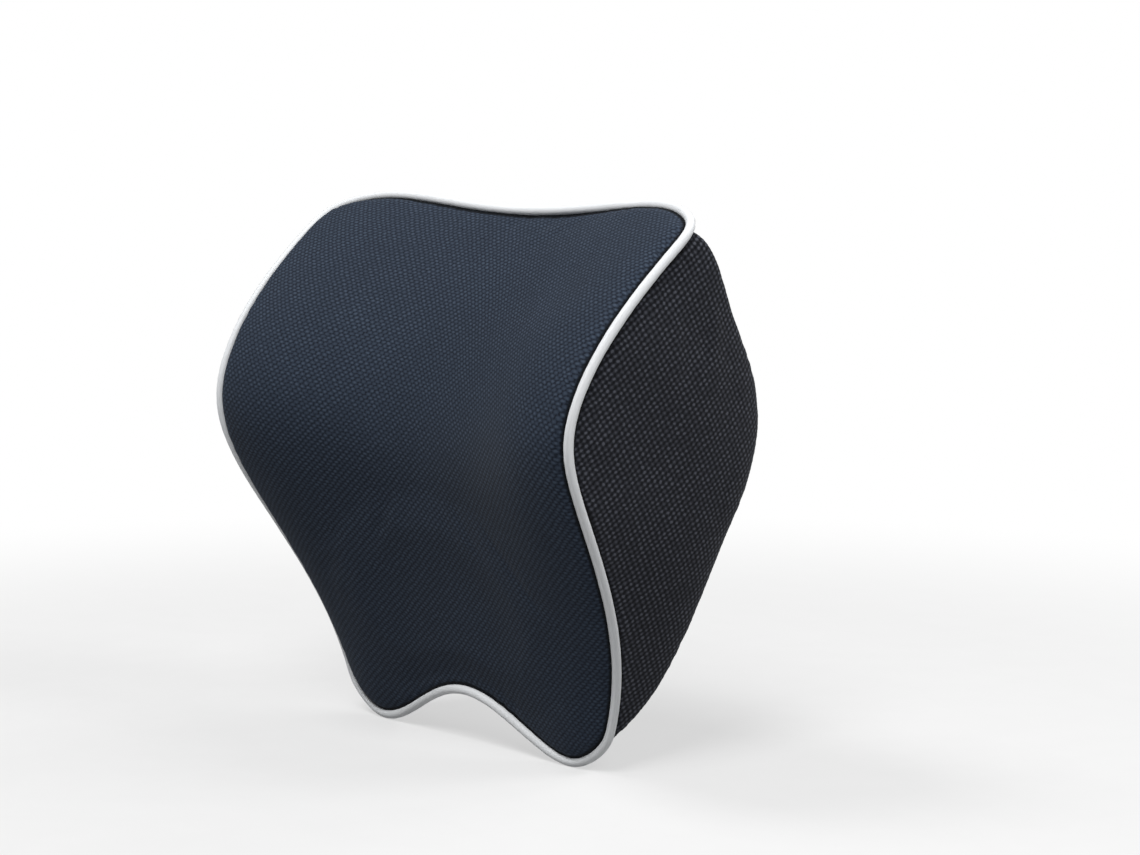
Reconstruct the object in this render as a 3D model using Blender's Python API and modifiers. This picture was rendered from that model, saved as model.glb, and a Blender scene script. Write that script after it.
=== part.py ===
"""Contoured neck pillow for a car headrest.

A foam block with a head channel in front and a blunt, two-faced back, in a sewn cover: one front
panel with a loop of piping round it, two end panels, a back in two parts with a zip between them,
and an elastic strap across the upper back.

Units are metres. +Z is up, the front looks along -Y and the pillow is symmetric about X = 0.
The origin is the middle of the flat upper back, where the pillow leans on the headrest.
"""

import math

import bmesh
import bpy
from mathutils import Matrix, Vector

# Heights above the origin
TOP_HEIGHT = 0.0435
TOP_EAR_RISE = 0.0090
TOP_CORNER_DROP = 0.0100
RIDGE_HEIGHT = -0.0575
APEX_HEIGHT = -0.0525
FOOT_HEIGHT = -0.1960
LOBE_DROP = 0.0310
LOBE_CORNER_LIFT = 0.0165

# Depths behind the origin, negative in front of it
TOP_DEPTH = -0.0185
TOP_CORNER_SWEEP = 0.0140
RIDGE_DEPTH = -0.1110
FOOT_DEPTH = -0.0575
LOBE_SETBACK = 0.0070

# Half widths from the middle plane to the seams
SHOULDER_HALF_WIDTH = 0.1435
WAIST_HALF_WIDTH = 0.1380
LOBE_HALF_WIDTH = 0.1005

# Rows and columns, as shares of the height and of the half width, where the outline turns
WAIST_ROW = 0.5
LOBE_COLUMN = 0.85

# How sharply the outline turns: a higher power keeps a turn closer to its end
TAPER_POWER = 1.25
TOP_CORNER_POWER = 8
LOBE_CORNER_POWER = 9

# Form of the front
CHANNEL_DEPTH = 0.028
CHANNEL_RIDGE_DROP = 0.016
FRONT_CROWN = 0.0055
CROWN_POWER = 8
BROW_POWER = 1.75
CHIN_POWER = 0.78

# Form of the back and the ends
UPPER_BACK_LEAN = math.radians(33.0)
LOWER_BACK_LEAN = math.radians(21.0)
APEX_ROUNDING = 0.016
BACK_EDGE_ROUNDING = 0.016
END_CROWN = 0.006
TOP_EDGE_REACH = 0.024
FOOT_EDGE_REACH = 0.037
END_CORNER_REACH = 0.085

# Cover and core
CLOTH_THICKNESS = 0.0012
FOAM_SETBACK = 0.0050
FIT_GAP = 0.0003
SEAM_GAP = 0.0005
SHARPEST_CORNER = 3.5

# Piping round the front panel
PIPING_RADIUS = 0.0022
PIPING_PROUD = 0.0009
PIPING_SEAT = 0.0027

# Zip across the lower back
ZIP_DROP = 0.040
ZIP_END_MARGIN = 0.0008
ZIP_SLOT_WIDTH = 0.0130
ZIP_COIL_WIDTH = 0.0040
ZIP_COIL_HEIGHT = 0.0019
ZIP_TAPE_THICKNESS = 0.0008
ZIP_STOP_LENGTH = 0.0030
SLIDER_LENGTH = 0.0100
SLIDER_WIDTH = 0.0076
SLIDER_PLATE = 0.0012
SLIDER_TAPER = 0.72
BAIL_LENGTH = 0.0064
BAIL_WIDTH = 0.0016
BAIL_RISE = 0.0030
BAIL_THICKNESS = 0.0010
PULL_LENGTH = 0.0240
PULL_WIDTH = 0.0060
PULL_THICKNESS = 0.0011
PULL_EYE_LENGTH = 0.0042
PULL_EYE_WIDTH = 0.0030
RUNNING_GAP = 0.0003

# Elastic strap across the upper back
STRAP_WIDTH = 0.0250
STRAP_THICKNESS = 0.0016
STRAP_DROP = 0.026
STRAP_END_MARGIN = 0.006
STRAP_HEM_LENGTH = 0.016

# Closer than any two points of the cage that aren't pinched together
MERGE_DISTANCE = 0.00005

# Fineness of the cage: faces across the front, round each end and from top to bottom
FRONT_COLUMNS = 10
END_STATIONS = (0.0, 0.22, 0.46, 0.70, 0.87, 1.0)
ROW_STATIONS = (0.0, 0.045, 0.13, 0.22, 0.31, 0.395, 0.48, 0.565, 0.65, 0.74, 0.83, 0.91, 0.965, 1.0)
SKIN_LEVELS = 1

FRONT, RIGHT_END, BACK, LEFT_END = range(4)


def clear_scene():
    for old in list(bpy.data.objects):
        bpy.data.objects.remove(old, do_unlink=True)


def collection(name):
    made = bpy.data.collections.new(name)
    bpy.context.scene.collection.children.link(made)
    return made


def material(name, colour, roughness, metallic=0.0):
    made = bpy.data.materials.new(name)
    made.use_nodes = True
    shader = made.node_tree.nodes["Principled BSDF"]
    shader.inputs["Base Color"].default_value = (*colour, 1.0)
    shader.inputs["Roughness"].default_value = roughness
    shader.inputs["Metallic"].default_value = metallic
    made.diffuse_color = (*colour, 1.0)
    return made


def mix(low, high, share):
    return low + (high - low) * share


def bell(u):
    """1 at the middle plane, 0 at both ends."""
    return 0.5 + 0.5 * math.cos(math.pi * u)


def ease(share):
    """0 to 1 with level ends."""
    return 0.5 - 0.5 * math.cos(math.pi * min(max(share, 0.0), 1.0))


def half_width(t):
    """Half the pillow's width at row t, from the shoulders past the waist to the lobes."""
    if t < WAIST_ROW:
        return mix(SHOULDER_HALF_WIDTH, WAIST_HALF_WIDTH, ease(t / WAIST_ROW))
    share = (t - WAIST_ROW) / (1.0 - WAIST_ROW)
    return mix(WAIST_HALF_WIDTH, LOBE_HALF_WIDTH, share ** TAPER_POWER)


def top_edge(u):
    """Depth and height of the top seam: raised at the ears, dipped between them."""
    corner = abs(u) ** TOP_CORNER_POWER
    height = TOP_HEIGHT + TOP_EAR_RISE * (1.0 - bell(u)) - TOP_CORNER_DROP * corner
    return TOP_DEPTH - TOP_CORNER_SWEEP * corner, height


def foot_edge(u):
    """Depth and height of the bottom seam: two lobes with a notch between them."""
    lobe = 1.0 - bell(min(abs(u) / LOBE_COLUMN, 1.0))
    height = FOOT_HEIGHT - LOBE_DROP * lobe + LOBE_CORNER_LIFT * abs(u) ** LOBE_CORNER_POWER
    return FOOT_DEPTH + LOBE_SETBACK * lobe, height


def row_height(u, t):
    return mix(top_edge(u)[1], foot_edge(u)[1], t)


def back_plane_depth(height):
    """Two flat faces that meet in a rounded apex."""
    upper = math.tan(UPPER_BACK_LEAN)
    lower = math.tan(LOWER_BACK_LEAN)
    rise = height - APEX_HEIGHT
    apex_depth = -upper * APEX_HEIGHT
    if rise >= APEX_ROUNDING:
        return apex_depth - upper * rise
    if rise <= -APEX_ROUNDING:
        return apex_depth + lower * rise
    rounded = 0.5 * (rise * rise / APEX_ROUNDING + APEX_ROUNDING)
    return apex_depth - 0.5 * (upper - lower) * rise - 0.5 * (upper + lower) * rounded


def front_depth(u, t):
    """Depth of the front face: brow above the ridge, chin below it, channel in the middle."""
    top_depth = top_edge(u)[0]
    foot_depth = foot_edge(u)[0]
    top_height = top_edge(u)[1]
    foot_height = foot_edge(u)[1]
    ridge_height = RIDGE_HEIGHT - CHANNEL_RIDGE_DROP * bell(u)
    ridge_row = (top_height - ridge_height) / (top_height - foot_height)
    ridge_depth = RIDGE_DEPTH + CHANNEL_DEPTH * bell(u)
    if t < ridge_row:
        share = (ridge_row - t) / ridge_row
        depth = mix(ridge_depth, top_depth, share ** BROW_POWER)
    else:
        share = (t - ridge_row) / (1.0 - ridge_row)
        depth = mix(ridge_depth, foot_depth, ease(share ** CHIN_POWER))
    crown = (1.0 - u ** CROWN_POWER) * (1.0 - (2.0 * t - 1.0) ** CROWN_POWER)
    return depth - FRONT_CROWN * crown


def back_depth(u, t):
    """Depth of the back face, drawn in to the top and bottom seams."""
    height = row_height(u, t)
    top_depth, top_height = top_edge(u)
    foot_depth, foot_height = foot_edge(u)
    top_share = max(0.0, 1.0 - (top_height - height) / TOP_EDGE_REACH) ** 2
    foot_share = max(0.0, 1.0 - (height - foot_height) / FOOT_EDGE_REACH) ** 2
    depth = back_plane_depth(height)
    depth += (top_depth - back_plane_depth(top_height)) * top_share
    depth += (foot_depth - back_plane_depth(foot_height)) * foot_share
    return depth


def end_fullness(t):
    """How much of the end's rounding a row has: none at the pointed top and bottom corners."""
    height = row_height(1.0, t)
    below_top = row_height(1.0, 0.0) - height
    above_foot = height - row_height(1.0, 1.0)
    return min(1.0, below_top / END_CORNER_REACH, above_foot / END_CORNER_REACH)


def front_point(u, t):
    return Vector((u * half_width(t), front_depth(u, t), row_height(u, t)))


def back_point(u, t):
    width = half_width(t) - BACK_EDGE_ROUNDING * end_fullness(t)
    return Vector((u * width, back_depth(u, t), row_height(u, t)))


def end_point(side, w, t):
    """A point on an end panel, from the front seam at w = 0 round the back edge to w = 1."""
    start = front_point(side, t)
    finish = back_point(side, t)
    corner = Vector((side * (half_width(t) + END_CROWN * end_fullness(t)), finish.y, finish.z))
    return start * (1.0 - w) ** 2 + corner * (2.0 * w * (1.0 - w)) + finish * w ** 2


def ring_points(t, pinched):
    """One closed ring of the cage at row t, with the panel that starts at each point.

    A pinched ring has its front and back drawn together, which closes the top or the bottom.
    """
    across = [2.0 * i / FRONT_COLUMNS - 1.0 for i in range(FRONT_COLUMNS)]
    round_end = END_STATIONS[:-1]
    if pinched:
        middle = {u: (front_point(u, t) + back_point(u, t)) / 2.0 for u in across + [1.0]}
        ring = [(middle[u], FRONT) for u in across]
        ring += [(middle[1.0], RIGHT_END) for _ in round_end]
        ring += [(middle[u], BACK) for u in [1.0] + across[:0:-1]]
        ring += [(middle[-1.0], LEFT_END) for _ in round_end]
        return ring
    ring = [(front_point(u, t), FRONT) for u in across]
    ring += [(end_point(1.0, w, t), RIGHT_END) for w in round_end]
    ring += [(back_point(-u, t), BACK) for u in across]
    ring += [(end_point(-1.0, w, t), LEFT_END) for w in END_STATIONS[:0:-1]]
    return ring


def body_cage(name, edge_setback, creased):
    """The closed coarse cage of the pillow, its top and bottom edges set in by a length.

    The cover's cage has its front seam creased.
    """
    edge_row = edge_setback / (TOP_HEIGHT - FOOT_HEIGHT)
    stations = [edge_row, *ROW_STATIONS[1:-1], 1.0 - edge_row]
    cage = bmesh.new()
    crease = cage.edges.layers.float.new("crease_edge")
    rows = []
    for t in stations:
        ring = ring_points(t, pinched=t in (stations[0], stations[-1]))
        rows.append([(cage.verts.new(point), panel) for point, panel in ring])
    count = len(rows[0])
    for upper, lower in zip(rows, rows[1:]):
        for i in range(count):
            j = (i + 1) % count
            face = cage.faces.new((upper[i][0], lower[i][0], lower[j][0], upper[j][0]))
            face.material_index = upper[i][1]
            face.smooth = True
    bmesh.ops.remove_doubles(cage, verts=cage.verts, dist=MERGE_DISTANCE)
    bmesh.ops.recalc_face_normals(cage, faces=cage.faces)
    if creased:
        for edge in cage.edges:
            panels = {face.material_index for face in edge.link_faces}
            if FRONT in panels and len(panels) == 2:
                edge[crease] = 1.0
    mesh = bpy.data.meshes.new(name)
    cage.to_mesh(mesh)
    cage.free()
    return mesh


def subdivided(mesh, levels):
    """The mesh after its Subdivision Surface, as a bmesh."""
    guide = bpy.data.objects.new("skin_guide", mesh)
    bpy.context.scene.collection.objects.link(guide)
    smooth = guide.modifiers.new("smooth", "SUBSURF")
    smooth.levels = levels
    smooth.render_levels = levels
    bpy.context.view_layer.update()
    evaluated = guide.evaluated_get(bpy.context.evaluated_depsgraph_get())
    skin = bmesh.new()
    skin.from_mesh(evaluated.to_mesh())
    evaluated.to_mesh_clear()
    bpy.data.objects.remove(guide, do_unlink=True)
    return skin


def add_object(name, mesh, home, finish):
    mesh.materials.clear()
    mesh.materials.append(finish)
    made = bpy.data.objects.new(name, mesh)
    home.objects.link(made)
    return made


def add_modifier(made, kind, **settings):
    modifier = made.modifiers.new(kind.lower(), kind)
    for key, value in settings.items():
        setattr(modifier, key, value)
    return modifier


def off_seam(panel):
    """For each boundary vertex, the move in the surface that takes both its edges off the seam.

    The move is for a unit distance, so it is longer where the seam turns a sharp corner.
    """
    moves = {}
    for vert in panel.verts:
        rims = [edge for edge in vert.link_edges if edge.is_boundary]
        if len(rims) != 2:
            continue
        a, b = ((edge.other_vert(vert).co - vert.co).normalized() for edge in rims)
        inward = vert.normal.cross(a - b).normalized()
        centre = Vector()
        for face in vert.link_faces:
            centre += face.calc_center_median() / len(vert.link_faces)
        if inward.dot(centre - vert.co) < 0.0:
            inward.negate()
        corner = math.sin(a.angle(b) / 2.0)
        moves[vert] = inward / max(corner, 1.0 / SHARPEST_CORNER)
    return moves


def cover_panel(name, skin, keep, home, finish):
    """One cloth panel: its faces of the skin, drawn off its seams and given a thickness.

    A panel stops short of the piping on the front seam, and half a seam gap short elsewhere.
    An end panel also stops one face short of the corners, where the piping closes it.
    """
    panel = skin.copy()
    near_piping = panel.verts.layers.int.new("near_piping")
    corners = set()
    for vert in panel.verts:
        touching = {face.material_index for face in vert.link_faces}
        vert[near_piping] = int(FRONT in touching and len(touching) > 1)
        if len(touching) > 2:
            corners.add(vert)
    doomed = [face for face in panel.faces if not keep(face)]
    for face in panel.faces:
        if keep(face) and face.material_index in (LEFT_END, RIGHT_END) and corners & set(face.verts):
            doomed.append(face)
            for vert in face.verts:
                vert[near_piping] = 1
    bmesh.ops.delete(panel, geom=doomed, context="FACES")
    panel.normal_update()
    for vert, move in off_seam(panel).items():
        vert.co += move * (PIPING_SEAT if vert[near_piping] else SEAM_GAP / 2.0)
    for face in panel.faces:
        face.material_index = 0
    mesh = bpy.data.meshes.new(name)
    panel.to_mesh(mesh)
    panel.free()
    made = add_object(name, mesh, home, finish)
    add_modifier(made, "SOLIDIFY", thickness=CLOTH_THICKNESS, offset=-1.0)
    return made


def front_seam_loop(skin):
    """The points of the seam round the front panel, in order, moved out to the piping's line."""
    links = {}
    for edge in skin.edges:
        panels = {face.material_index for face in edge.link_faces}
        if FRONT in panels and len(panels) == 2:
            a, b = edge.verts
            links.setdefault(a, []).append(b)
            links.setdefault(b, []).append(a)
    start = max(links, key=lambda vert: (vert.co.z, vert.co.x))
    loop = [start]
    previous, here = start, links[start][0]
    while here is not start:
        loop.append(here)
        step = [vert for vert in links[here] if vert is not previous]
        previous, here = here, step[0]
    return [vert.co + vert.normal * PIPING_PROUD for vert in loop]


def piping(skin, home, finish):
    """The closed round cord in the front seam."""
    curve = bpy.data.curves.new("piping", "CURVE")
    curve.dimensions = "3D"
    curve.bevel_depth = PIPING_RADIUS
    curve.bevel_resolution = 2
    points = front_seam_loop(skin)
    spline = curve.splines.new("POLY")
    spline.points.add(len(points) - 1)
    for place, point in zip(spline.points, points):
        place.co = (*point, 1.0)
    spline.use_cyclic_u = True
    curve.materials.append(finish)
    made = bpy.data.objects.new("piping", curve)
    home.objects.link(made)
    return made


def foam_core(home, finish):
    """The foam block: the same form with soft edges, set in by the cover's thickness."""
    made = add_object("foam_core", body_cage("foam_core", FOAM_SETBACK, creased=False), home, finish)
    levels = SKIN_LEVELS
    add_modifier(made, "SUBSURF", levels=levels, render_levels=levels)
    add_modifier(made, "DISPLACE", strength=-(CLOTH_THICKNESS + FIT_GAP), mid_level=0.0)
    return made


def back_frame(height, lean_down):
    """Frame on a flat back face: X across, Y down the face, Z out of it, at the given height."""
    across = Vector((1.0, 0.0, 0.0))
    down = Vector((0.0, math.sin(lean_down), -math.cos(lean_down)))
    out = across.cross(down)
    place = Matrix((across, down, out)).transposed().to_4x4()
    place.translation = Vector((0.0, back_plane_depth(height), height))
    return place


def zip_frame():
    drop = ZIP_DROP * math.cos(LOWER_BACK_LEAN)
    return back_frame(APEX_HEIGHT - drop, -LOWER_BACK_LEAN)


def strap_frame():
    return back_frame(-STRAP_DROP * math.cos(UPPER_BACK_LEAN), UPPER_BACK_LEAN)


def box(name, low, high, place, home, finish, rounding=0.0):
    """A block between two corners of a local frame, with rounded edges."""
    low, high = Vector(low), Vector(high)
    shape = bmesh.new()
    bmesh.ops.create_cube(shape, size=1.0)
    bmesh.ops.scale(shape, vec=high - low, verts=shape.verts)
    bmesh.ops.translate(shape, vec=(low + high) / 2.0, verts=shape.verts)
    mesh = bpy.data.meshes.new(name)
    shape.to_mesh(mesh)
    shape.free()
    made = add_object(name, mesh, home, finish)
    made.matrix_world = place
    if rounding:
        add_modifier(made, "BEVEL", width=rounding, segments=2)
    return made


def slot_skin(skin):
    """The skin with the back cut along both edges of the zip's slot."""
    cut = skin.copy()
    place = zip_frame()
    down = place.to_3x3().col[1]
    for edge_side in (-1.0, 1.0):
        faces = [face for face in cut.faces if face.material_index == BACK]
        edges = {edge for face in faces for edge in face.edges}
        verts = {vert for face in faces for vert in face.verts}
        bmesh.ops.bisect_plane(
            cut,
            geom=faces + list(edges) + list(verts),
            dist=MERGE_DISTANCE,
            plane_co=place.translation + down * (edge_side * ZIP_SLOT_WIDTH / 2.0),
            plane_no=down,
        )
    return cut


def below_zip(face):
    """How far a back face's middle lies below the zip's centre line."""
    return (zip_frame().inverted() @ face.calc_center_median()).y


def zip_half_length(skin):
    """Half the slot's length: the end seam's nearest point along the slot."""
    seam = [
        vert.co.x
        for face in skin.faces
        if face.material_index == BACK and abs(below_zip(face)) < ZIP_SLOT_WIDTH / 2.0
        for vert in face.verts
        if vert.co.x > 0.0 and any(near.material_index == RIGHT_END for near in vert.link_faces)
    ]
    return min(seam) - SEAM_GAP / 2.0 - ZIP_END_MARGIN


def cover(skin, home, front_cloth, end_cloth):
    """The five cloth panels of the cover."""
    def front(face):
        return face.material_index == FRONT

    def left(face):
        return face.material_index == LEFT_END

    def right(face):
        return face.material_index == RIGHT_END

    def back_above(face):
        return face.material_index == BACK and below_zip(face) < -ZIP_SLOT_WIDTH / 2.0

    def back_below(face):
        return face.material_index == BACK and below_zip(face) > ZIP_SLOT_WIDTH / 2.0

    cover_panel("front_panel", skin, front, home, front_cloth)
    cover_panel("left_side_panel", skin, left, home, end_cloth)
    cover_panel("right_side_panel", skin, right, home, end_cloth)
    cover_panel("back_panel_upper", skin, back_above, home, end_cloth)
    cover_panel("back_panel_lower", skin, back_below, home, end_cloth)


def zip_fastener(half_length, home, cloth, nylon, metal):
    """Two tapes, the closed coil between them and a stop at each end."""
    place = zip_frame()
    floor = -CLOTH_THICKNESS
    tape_in = ZIP_COIL_WIDTH / 2.0 + FIT_GAP
    tape_out = ZIP_SLOT_WIDTH / 2.0 + SEAM_GAP / 2.0 - FIT_GAP
    tape_top = floor + ZIP_TAPE_THICKNESS
    box("zip_tape_upper", (-half_length, -tape_out, floor), (half_length, -tape_in, tape_top),
        place, home, cloth)
    box("zip_tape_lower", (-half_length, tape_in, floor), (half_length, tape_out, tape_top),
        place, home, cloth)
    coil_end = half_length - ZIP_STOP_LENGTH - FIT_GAP
    coil_low = (-coil_end, -ZIP_COIL_WIDTH / 2.0, floor)
    coil_high = (coil_end, ZIP_COIL_WIDTH / 2.0, floor + ZIP_COIL_HEIGHT)
    box("zip_coil", coil_low, coil_high, place, home, nylon, rounding=ZIP_COIL_HEIGHT / 4.0)
    for name, side in (("zip_stop_left", -1.0), ("zip_stop_right", 1.0)):
        near, far = sorted((side * (coil_end + FIT_GAP), side * half_length))
        low = (near, -ZIP_COIL_WIDTH / 2.0, floor)
        high = (far, ZIP_COIL_WIDTH / 2.0, floor + ZIP_COIL_HEIGHT)
        box(name, low, high, place, home, metal, rounding=ZIP_COIL_HEIGHT / 4.0)
    return coil_end


def cut_or_join(made, other, operation):
    boolean = add_modifier(made, "BOOLEAN", operation=operation, object=other)
    boolean.solver = "EXACT"
    other.display_type = "WIRE"
    other.hide_render = True


def slider_levels():
    """Heights over the back face of the slider's underside, throat and plate."""
    under = ZIP_TAPE_THICKNESS - CLOTH_THICKNESS + RUNNING_GAP
    throat = ZIP_COIL_HEIGHT - CLOTH_THICKNESS + RUNNING_GAP
    return under, throat, throat + SLIDER_PLATE


def bail_axis_height():
    """Height of the pull's axis: the middle of the bail's eye."""
    plate = slider_levels()[2]
    return plate + (BAIL_RISE - BAIL_THICKNESS) / 2.0


def zip_slider(rest_x, home, cutters, metal):
    """The slider: a tapered plate with two flanges over the coil, and a bail for its pull."""
    place = zip_frame() @ Matrix.Translation((rest_x, 0.0, 0.0))
    under, throat, plate = slider_levels()
    half_length = SLIDER_LENGTH / 2.0
    half_width = SLIDER_WIDTH / 2.0
    made = box("zip_slider", (-half_length, -half_width, under), (half_length, half_width, plate),
               place, home, metal)
    for vert in made.data.vertices:
        if vert.co.x < 0.0:
            vert.co.y *= SLIDER_TAPER
    throat_half = ZIP_COIL_WIDTH / 2.0 + RUNNING_GAP
    throat_cut = box("slider_throat", (-SLIDER_LENGTH, -throat_half, under - SLIDER_PLATE),
                     (SLIDER_LENGTH, throat_half, throat), place, cutters, metal)
    half_bail = BAIL_LENGTH / 2.0
    bail = box("slider_bail", (-half_bail, -BAIL_WIDTH / 2.0, plate - SLIDER_PLATE / 2.0),
               (half_bail, BAIL_WIDTH / 2.0, plate + BAIL_RISE), place, cutters, metal)
    eye_half = half_bail - BAIL_THICKNESS
    eye = box("bail_eye", (-eye_half, -BAIL_WIDTH, plate),
              (eye_half, BAIL_WIDTH, plate + BAIL_RISE - BAIL_THICKNESS), place, cutters, metal)
    cut_or_join(made, throat_cut, "DIFFERENCE")
    cut_or_join(made, bail, "UNION")
    cut_or_join(made, eye, "DIFFERENCE")
    return made


def zip_pull(rest_x, home, cutters, metal):
    """The pull: a flat tab whose end bar turns in the bail's eye."""
    place = zip_frame() @ Matrix.Translation((rest_x, 0.0, bail_axis_height()))
    bar_half = PULL_THICKNESS / 2.0
    made = box("zip_pull", (-PULL_LENGTH, -PULL_WIDTH / 2.0, -bar_half),
               (bar_half, PULL_WIDTH / 2.0, bar_half), place, home, metal)
    eye = box("pull_eye", (-bar_half - PULL_EYE_LENGTH, -PULL_EYE_WIDTH / 2.0, -PULL_THICKNESS),
              (-bar_half, PULL_EYE_WIDTH / 2.0, PULL_THICKNESS), place, cutters, metal)
    cut_or_join(made, eye, "DIFFERENCE")
    return made


def strap_half_length(skin):
    """Half the strap's length: the end seam's nearest point along the strap."""
    from_strap = strap_frame().inverted()
    seam = [
        vert.co.x
        for vert in skin.verts
        if vert.co.x > 0.0
        and abs((from_strap @ vert.co).y) < STRAP_WIDTH
        and {BACK, RIGHT_END} <= {face.material_index for face in vert.link_faces}
    ]
    return min(seam) - STRAP_END_MARGIN


def elastic_strap(half_length, home, elastic):
    """A flat band across the upper back, folded double where its ends are sewn down."""
    low, single = FIT_GAP, FIT_GAP + STRAP_THICKNESS
    double = single + STRAP_THICKNESS
    hem = half_length - STRAP_HEM_LENGTH
    outline = [(-half_length, low), (half_length, low), (half_length, double), (hem, double),
               (hem - STRAP_THICKNESS, single), (-hem + STRAP_THICKNESS, single),
               (-hem, double), (-half_length, double)]
    curve = bpy.data.curves.new("elastic_strap", "CURVE")
    curve.dimensions = "2D"
    curve.fill_mode = "BOTH"
    curve.extrude = STRAP_WIDTH / 2.0
    spline = curve.splines.new("POLY")
    spline.points.add(len(outline) - 1)
    for place, (x, y) in zip(spline.points, outline):
        place.co = (x, y, 0.0, 1.0)
    spline.use_cyclic_u = True
    curve.materials.append(elastic)
    made = bpy.data.objects.new("elastic_strap", curve)
    made.matrix_world = strap_frame() @ Matrix.Rotation(math.radians(90.0), 4, "X")
    home.objects.link(made)
    return made


def build_pillow():
    clear_scene()
    home = collection("car_neck_pillow")
    cutters = collection("cutters")
    front_cloth = material("front_knit", (0.036, 0.044, 0.060), 0.85)
    end_cloth = material("end_mesh", (0.018, 0.019, 0.024), 0.9)
    piping_cloth = material("piping_cloth", (0.86, 0.88, 0.90), 0.6)
    foam = material("foam", (0.80, 0.78, 0.68), 0.95)
    tape = material("zip_tape_cloth", (0.016, 0.016, 0.018), 0.85)
    nylon = material("zip_nylon", (0.014, 0.014, 0.016), 0.45)
    metal = material("zip_metal", (0.10, 0.10, 0.11), 0.35, 1.0)
    elastic = material("elastic", (0.015, 0.015, 0.017), 0.8)

    cage = body_cage("skin", 0.0, creased=True)
    skin = subdivided(cage, SKIN_LEVELS)
    slotted = slot_skin(skin)
    foam_core(home, foam)
    cover(slotted, home, front_cloth, end_cloth)
    piping(skin, home, piping_cloth)
    coil_end = zip_fastener(zip_half_length(slotted), home, tape, nylon, metal)
    rest_x = coil_end - SLIDER_LENGTH / 2.0
    zip_slider(rest_x, home, cutters, metal)
    zip_pull(rest_x, home, cutters, metal)
    elastic_strap(strap_half_length(skin), home, elastic)
    slotted.free()
    skin.free()


build_pillow()
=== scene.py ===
"""The look of the car neck pillow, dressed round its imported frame."""

import math

import bmesh
import bpy
import numpy as np
from mathutils import Matrix, Vector, bvhtree, kdtree


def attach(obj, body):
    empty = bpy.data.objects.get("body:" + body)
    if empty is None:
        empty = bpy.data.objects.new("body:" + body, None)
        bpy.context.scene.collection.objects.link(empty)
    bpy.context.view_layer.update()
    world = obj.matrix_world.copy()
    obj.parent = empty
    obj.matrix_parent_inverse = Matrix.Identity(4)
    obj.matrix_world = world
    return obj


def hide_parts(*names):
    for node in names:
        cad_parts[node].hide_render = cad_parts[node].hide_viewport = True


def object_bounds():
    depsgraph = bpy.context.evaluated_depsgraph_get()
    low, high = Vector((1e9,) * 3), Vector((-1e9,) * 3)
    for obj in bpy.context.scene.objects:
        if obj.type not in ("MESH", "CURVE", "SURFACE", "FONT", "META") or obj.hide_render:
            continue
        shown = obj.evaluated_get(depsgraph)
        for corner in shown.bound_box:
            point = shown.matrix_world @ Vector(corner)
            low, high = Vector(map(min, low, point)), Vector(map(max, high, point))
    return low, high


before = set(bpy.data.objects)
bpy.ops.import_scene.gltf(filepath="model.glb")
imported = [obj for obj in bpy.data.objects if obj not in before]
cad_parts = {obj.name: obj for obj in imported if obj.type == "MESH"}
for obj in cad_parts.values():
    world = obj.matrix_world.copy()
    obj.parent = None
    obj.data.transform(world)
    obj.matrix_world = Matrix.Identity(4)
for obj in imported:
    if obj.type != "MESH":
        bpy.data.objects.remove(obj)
cad_low, cad_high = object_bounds()

# The pillow's own sizes, as in its source: heights and depths of the seams and ridges
TOP_HEIGHT = 0.0435
TOP_EAR_RISE = 0.0090
TOP_CORNER_DROP = 0.0100
RIDGE_HEIGHT = -0.0575
APEX_HEIGHT = -0.0525
FOOT_HEIGHT = -0.1960
LOBE_DROP = 0.0310
LOBE_CORNER_LIFT = 0.0165
TOP_DEPTH = -0.0185
TOP_CORNER_SWEEP = 0.0140
RIDGE_DEPTH = -0.1110
FOOT_DEPTH = -0.0575
LOBE_SETBACK = 0.0070
SHOULDER_HALF_WIDTH = 0.1435
WAIST_HALF_WIDTH = 0.1380
LOBE_HALF_WIDTH = 0.1005
WAIST_ROW = 0.5
LOBE_COLUMN = 0.85
TAPER_POWER = 1.25
TOP_CORNER_POWER = 8
LOBE_CORNER_POWER = 9
CHANNEL_DEPTH = 0.028
CHANNEL_RIDGE_DROP = 0.016
FRONT_CROWN = 0.0055
CROWN_POWER = 8
BROW_POWER = 1.75
CHIN_POWER = 0.78
UPPER_BACK_LEAN = math.radians(33.0)
LOWER_BACK_LEAN = math.radians(21.0)
APEX_ROUNDING = 0.016
BACK_EDGE_ROUNDING = 0.016
END_CROWN = 0.006
TOP_EDGE_REACH = 0.024
FOOT_EDGE_REACH = 0.037
END_CORNER_REACH = 0.085
FRONT_COLUMNS = 10
END_STATIONS = (0.0, 0.22, 0.46, 0.70, 0.87, 1.0)
ROW_STATIONS = (0.0, 0.045, 0.13, 0.22, 0.31, 0.395, 0.48, 0.565, 0.65, 0.74, 0.83, 0.91, 0.965, 1.0)
ZIP_DROP = 0.040
ZIP_SLOT_WIDTH = 0.0130
STRAP_DROP = 0.026
STRAP_WIDTH = 0.0250
FRONT, RIGHT_END, BACK, LEFT_END = range(4)

# Where the cloth charts of the panels start on the cage, and how near its points merge
CHART_ROW = 5
CHART_COLUMN = {FRONT: FRONT_COLUMNS // 2, RIGHT_END: 3, BACK: FRONT_COLUMNS // 2, LEFT_END: 2}
MERGE_REACH = 0.00005


def mix(low, high, share):
    return low + (high - low) * share


def bell(u):
    return 0.5 + 0.5 * math.cos(math.pi * u)


def ease(share):
    return 0.5 - 0.5 * math.cos(math.pi * min(max(share, 0.0), 1.0))


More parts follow.
